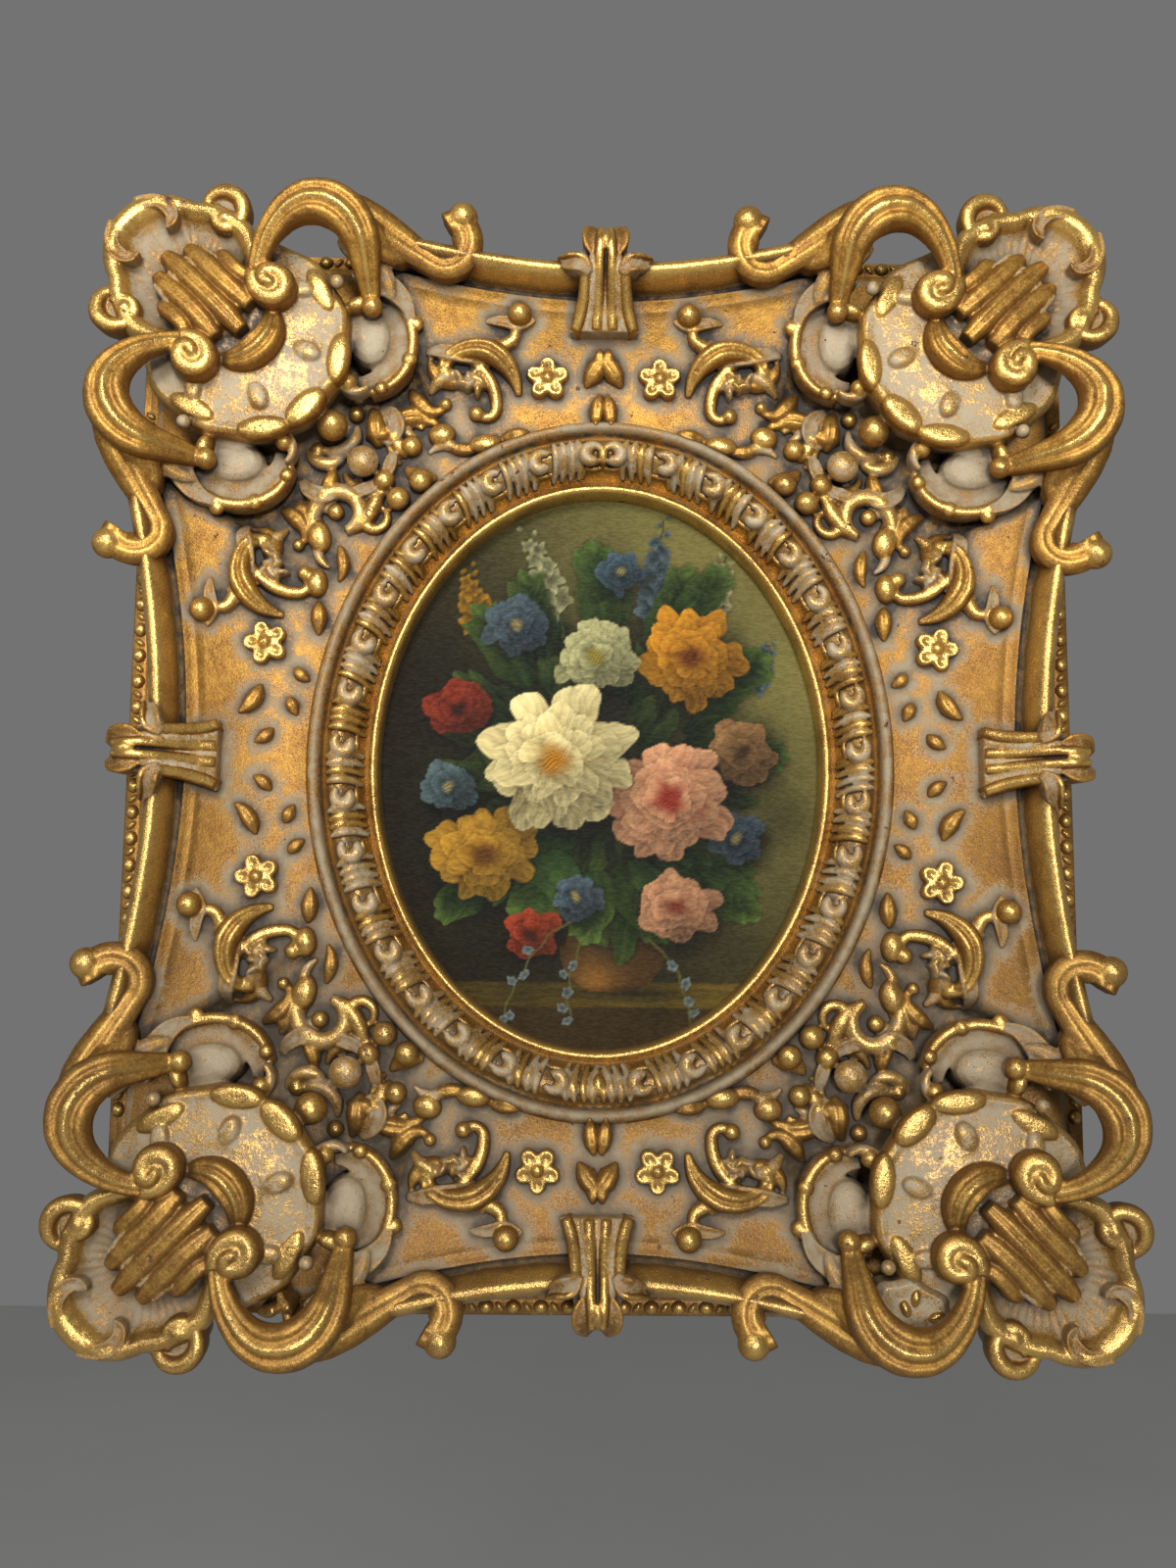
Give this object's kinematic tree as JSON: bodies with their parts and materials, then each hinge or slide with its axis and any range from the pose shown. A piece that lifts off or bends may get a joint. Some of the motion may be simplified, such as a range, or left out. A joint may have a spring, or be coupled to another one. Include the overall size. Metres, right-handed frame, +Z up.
{
  "type": "framed oil painting",
  "caption": "Small oval-sight floral oil painting on panel in a deep carved, parcel-gilt swept rococo frame with pierced corner scrolls, hung by a keyhole plate.",
  "frame": {"origin": "middle of the hanging plate's back face, where it meets the wall, high on the back of the top rail", "axes": "+Z up along the picture, -Y out of the wall towards the viewer, +X to the viewer's right"},
  "size_m": [0.4296, 0.0788, 0.4798],
  "materials": {
    "parcel_gilt": "carved wood and composition under gesso, burnished gold leaf on the heights, cream paint toned with umber in the hollows",
    "oil_paint": "oil paint on a prepared panel under a thin satin varnish",
    "backing": "plain stained board",
    "steel": "dull zinc-plated steel"
  },
  "bodies": {
    "root": {"carved_frame": "parcel_gilt", "oil_painting": "oil_paint", "backing_board": "backing", "hanging_plate": "steel", "hanger_screw_left": "steel", "hanger_screw_right": "steel"}
  },
  "joints": []
}
